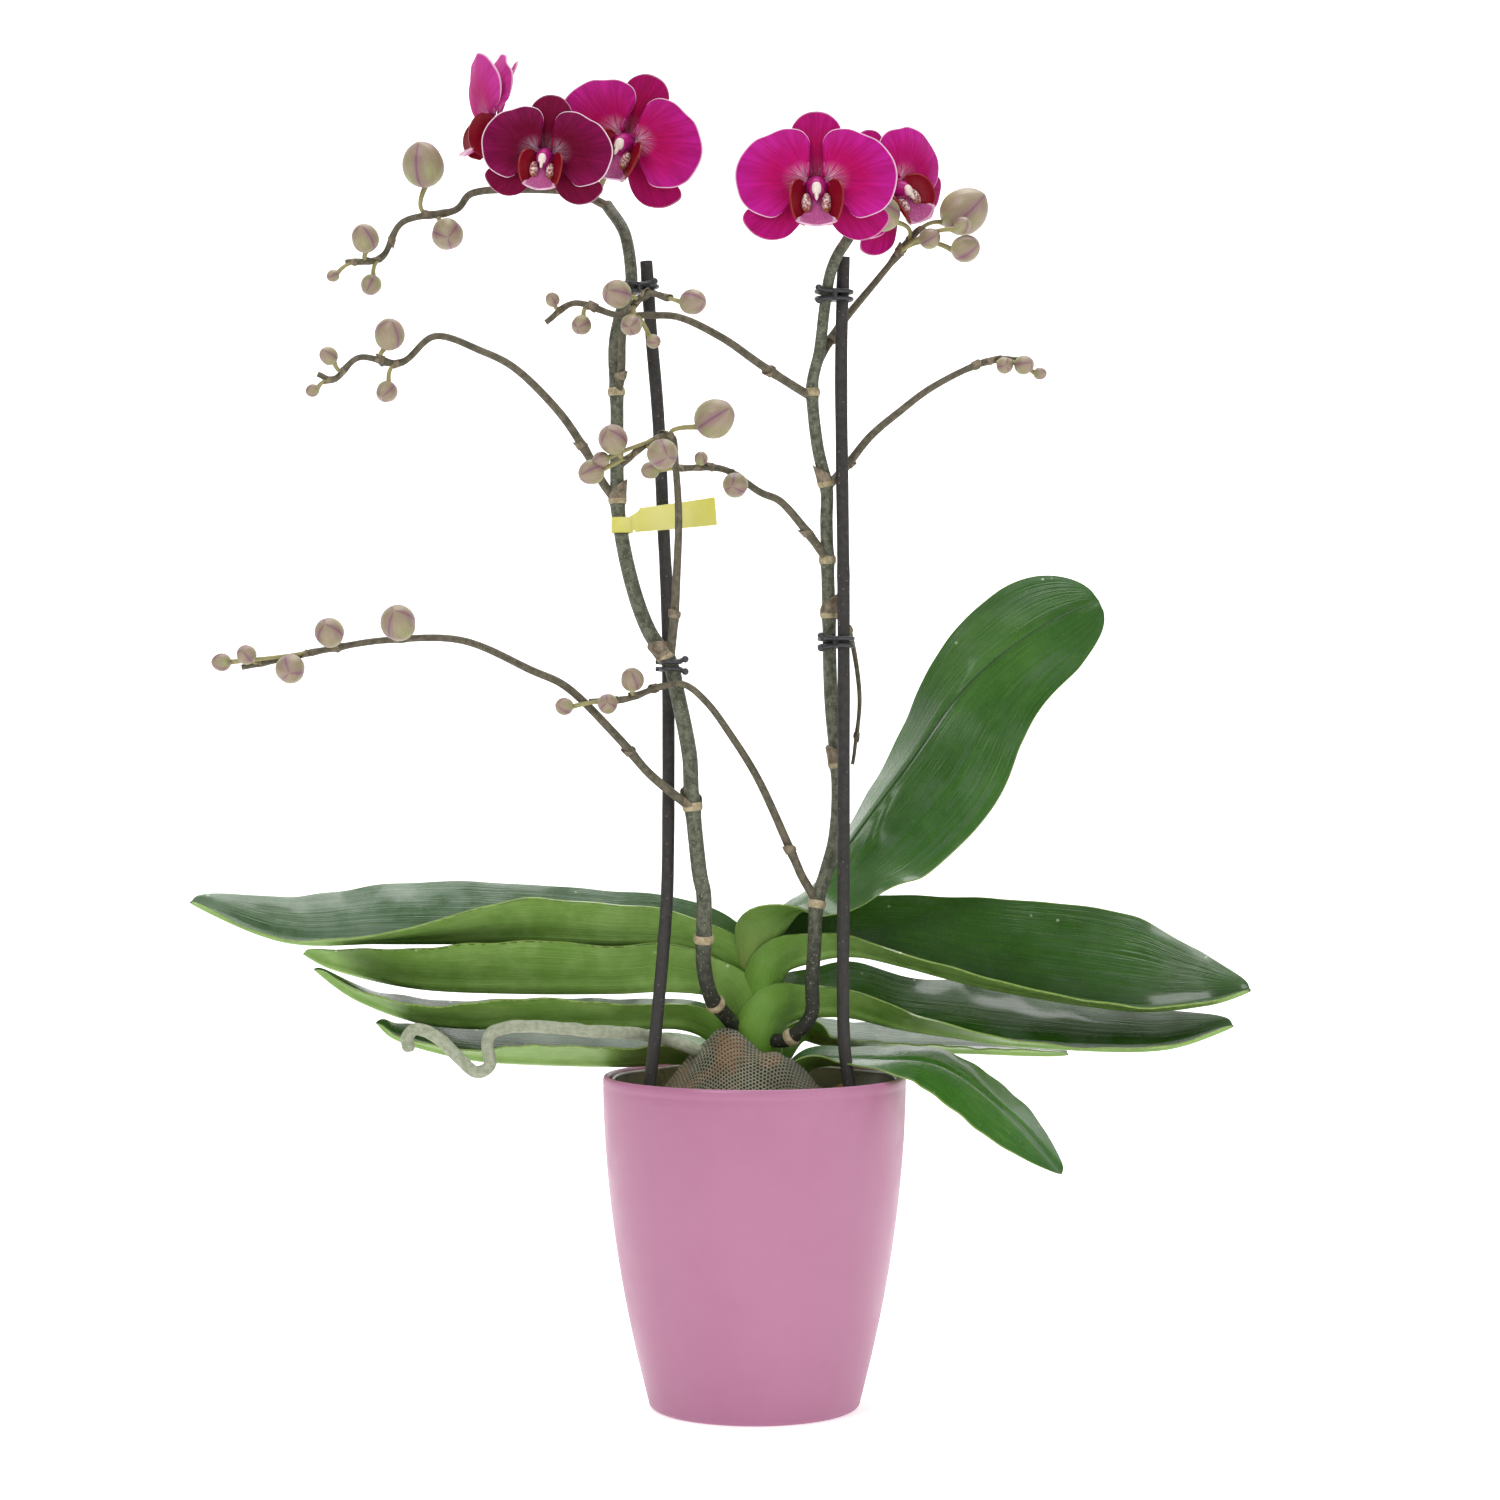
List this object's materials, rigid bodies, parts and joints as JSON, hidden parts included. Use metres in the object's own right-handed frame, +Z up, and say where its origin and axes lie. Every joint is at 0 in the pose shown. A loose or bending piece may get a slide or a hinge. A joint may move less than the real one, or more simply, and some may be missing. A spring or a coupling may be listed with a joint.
{
  "type": "potted moth orchid",
  "caption": "Potted moth orchid with magenta flowers and buds on tall staked spikes over long arching leaves, standing in a flared pink plastic cover pot",
  "frame": {"origin": "centre of the pot's flat underside", "axes": "+Z up, -Y towards the viewer, +X to the viewer's right"},
  "size_m": [0.4458, 0.1382, 0.5702],
  "materials": {
    "pot_plastic": "satin",
    "clear_plastic": "satin",
    "bark": "matte",
    "net": "matte",
    "crown": "satin",
    "leaf": "gloss",
    "root": "matte",
    "stake": "matte",
    "clip": "satin",
    "tag": "satin",
    "stem": "satin",
    "sepal": "satin",
    "petal": "satin",
    "lip": "satin"
  },
  "bodies": {
    "root": {"aerial_root": "root", "bark_bed": "bark", "clip_left_low": "clip", "clip_left_top": "clip", "clip_right_low": "clip", "clip_right_top": "clip", "cover_pot": "pot_plastic", "crown": "crown", "flower_left_back_lip": "lip", "flower_left_back_petal_left": "petal", "flower_left_back_petal_right": "petal", "flower_left_back_sepals": "sepal", "flower_left_front_lip": "lip", "flower_left_front_petal_left": "petal", "flower_left_front_petal_right": "petal", "flower_left_front_sepals": "sepal", "flower_left_right_lip": "lip", "flower_left_right_petal_left": "petal", "flower_left_right_petal_right": "petal", "flower_left_right_sepals": "sepal", "flower_right_back_lip": "lip", "flower_right_back_petal_left": "petal", "flower_right_back_petal_right": "petal", "flower_right_back_sepals": "sepal", "flower_right_front_lip": "lip", "flower_right_front_petal_left": "petal", "flower_right_front_petal_right": "petal", "flower_right_front_sepals": "sepal", "grow_pot": "clear_plastic", "leaf_left_1": "leaf", "leaf_left_2": "leaf", "leaf_left_3": "leaf", "leaf_left_4": "leaf", "leaf_right_1": "leaf", "leaf_right_2": "leaf", "leaf_right_3": "leaf", "leaf_right_4": "leaf", "leaf_top_right": "leaf", "net_plug": "net", "plant_tag": "tag", "spike_left_branch_front_high": "stem", "spike_left_branch_front_low": "stem", "spike_left_branch_low": "stem", "spike_left_branch_mid": "stem", "spike_left_raceme": "stem", "spike_left_stem": "stem", "spike_right_branch_left_high": "stem", "spike_right_branch_left_low": "stem", "spike_right_branch_left_mid": "stem", "spike_right_branch_mid": "stem", "spike_right_branch_top": "stem", "spike_right_side_shoot": "stem", "spike_right_stem": "stem", "stake_left": "stake", "stake_right": "stake"}
  },
  "joints": []
}
